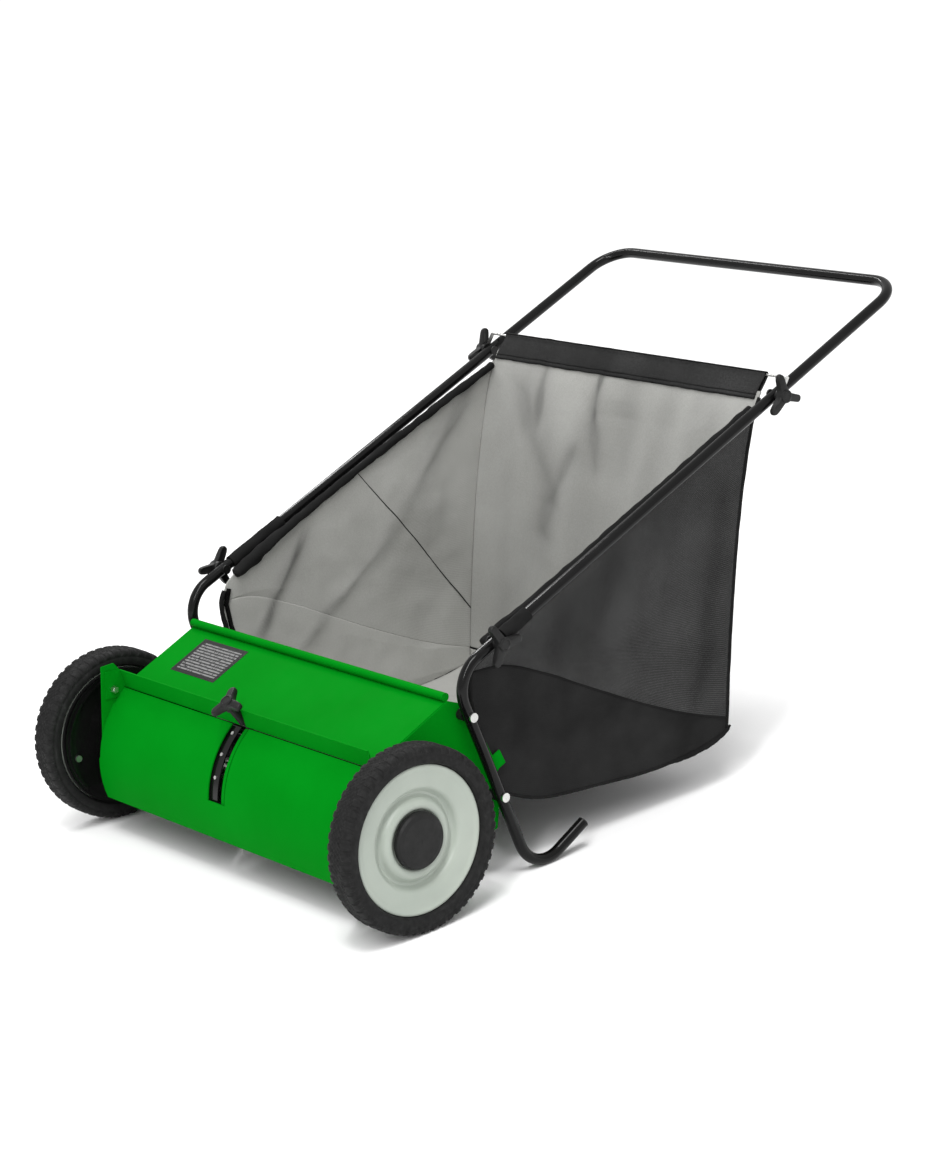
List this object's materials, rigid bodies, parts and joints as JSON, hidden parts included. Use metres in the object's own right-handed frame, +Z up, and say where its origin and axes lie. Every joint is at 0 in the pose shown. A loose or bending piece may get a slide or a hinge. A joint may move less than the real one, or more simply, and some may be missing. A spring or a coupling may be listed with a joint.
{
  "type": "push lawn sweeper",
  "caption": "Wheel-driven lawn and leaf sweeper with a rotary brush housing, tube handle and open mesh collecting bag",
  "frame": {"origin": "on the ground, at the middle of the bounding box in plan", "axes": "+X to the machine's left as seen from the front, wheel axle along X; front faces -Y, handle reaches to +Y; +Z up"},
  "size_m": [0.748, 1.152, 0.6688],
  "materials": {
    "green_paint": "gloss powder coat",
    "black_paint": "gloss powder coat",
    "zinc": "zinc plated",
    "black_plastic": "fine moulded grain",
    "mesh_cloth": "open woven mesh",
    "solid_cloth": "plain woven polyester",
    "tyre": "matt moulded rubber",
    "rim_plastic": "smooth pale grey moulding",
    "bristles": "dense synthetic bristle"
  },
  "bodies": {
    "frame": {"top_cover": "green_paint", "front_cover": "green_paint", "slot_guide": "green_paint", "index_strap": "black_paint", "index_rivets": "zinc", "side_plate_left": "green_paint", "side_plate_right": "green_paint", "rear_tie_rod": "black_paint", "ear_bolts": "zinc", "pivot_bush_left": "zinc", "pivot_bush_right": "zinc", "leg_tube_left": "black_paint", "leg_tube_right": "black_paint", "foot_plugs": "black_plastic", "tube_spacers": "black_plastic", "frame_bolts": "zinc", "mid_tube_left": "black_paint", "mid_tube_right": "black_paint", "upper_handle": "black_paint", "handle_bolts": "zinc", "hopper_rod": "zinc", "bag_side_left": "mesh_cloth", "bag_side_right": "mesh_cloth", "bag_back": "mesh_cloth", "bag_floor": "solid_cloth", "bag_side_hems": "solid_cloth", "bag_top_hem": "solid_cloth", "bag_flap_left": "solid_cloth", "bag_flap_right": "solid_cloth", "bag_front_frame": "black_paint"},
    "axle_frame": {"axle_arm_left": "black_paint", "axle_arm_right": "black_paint", "stub_axles": "zinc", "axle_spacers": "black_plastic", "axle_clips": "zinc", "gear_cover_left": "black_paint", "gear_cover_right": "black_paint", "gear_cover_screws": "zinc", "bearing_plate_left": "black_plastic", "bearing_plate_right": "black_plastic", "height_crossbar": "black_paint", "height_stud": "zinc"},
    "front_knob": {"front_knob": "black_plastic"},
    "wheel_left": {"tyre_left": "tyre", "wheel_rim_left": "rim_plastic", "ring_gear_left": "black_plastic", "hub_cap_left": "black_plastic"},
    "wheel_right": {"tyre_right": "tyre", "wheel_rim_right": "rim_plastic", "ring_gear_right": "black_plastic", "hub_cap_right": "black_plastic"},
    "brush": {"brush_shaft": "zinc", "brush_core": "zinc", "bristle_strips": "bristles", "pinion_left": "zinc"},
    "pinion_right": {"pinion_right": "zinc"},
    "lower_knob_left": {"lower_knob_left": "black_plastic"},
    "lower_knob_right": {"lower_knob_right": "black_plastic"},
    "upper_knob_left": {"upper_knob_left": "black_plastic"},
    "upper_knob_right": {"upper_knob_right": "black_plastic"}
  },
  "joints": [
    {"name": "height_adjust", "type": "hinge", "parent": "frame", "child": "axle_frame", "pos_m": [0, -0.37608, 0.09928], "axis": [1, 0, 0], "range_deg": [0, 47]},
    {"name": "front_knob_turn", "type": "hinge", "parent": "axle_frame", "child": "front_knob", "pos_m": [0.002, -0.47091, 0.24157], "axis": [0, -0.5545, 0.8322], "continuous": true},
    {"name": "wheel_left_spin", "type": "hinge", "parent": "axle_frame", "child": "wheel_left", "pos_m": [0, -0.44899, 0.127], "axis": [1, 0, 0], "continuous": true},
    {"name": "wheel_right_spin", "type": "hinge", "parent": "axle_frame", "child": "wheel_right", "pos_m": [0, -0.44899, 0.127], "axis": [1, 0, 0], "continuous": true},
    {"name": "brush_spin", "type": "hinge", "parent": "axle_frame", "child": "brush", "pos_m": [0, -0.37608, 0.09928], "axis": [1, 0, 0], "continuous": true},
    {"name": "pinion_right_spin", "type": "hinge", "parent": "axle_frame", "child": "pinion_right", "pos_m": [0, -0.37608, 0.09928], "axis": [1, 0, 0], "continuous": true},
    {"name": "lower_knob_left_turn", "type": "hinge", "parent": "frame", "child": "lower_knob_left", "pos_m": [-0.33, -0.25106, 0.33355], "axis": [-1, 0, 0], "continuous": true},
    {"name": "upper_knob_left_turn", "type": "hinge", "parent": "frame", "child": "upper_knob_left", "pos_m": [-0.33, 0.29683, 0.55246], "axis": [-1, 0, 0], "continuous": true},
    {"name": "lower_knob_right_turn", "type": "hinge", "parent": "frame", "child": "lower_knob_right", "pos_m": [0.33, -0.25106, 0.33355], "axis": [1, 0, 0], "continuous": true},
    {"name": "upper_knob_right_turn", "type": "hinge", "parent": "frame", "child": "upper_knob_right", "pos_m": [0.33, 0.29683, 0.55246], "axis": [1, 0, 0], "continuous": true}
  ],
  "couplings": [
    {"joint": "brush_spin", "follows": "wheel_left_spin", "ratio": 6.5714},
    {"joint": "pinion_right_spin", "follows": "wheel_right_spin", "ratio": 6.5714}
  ]
}
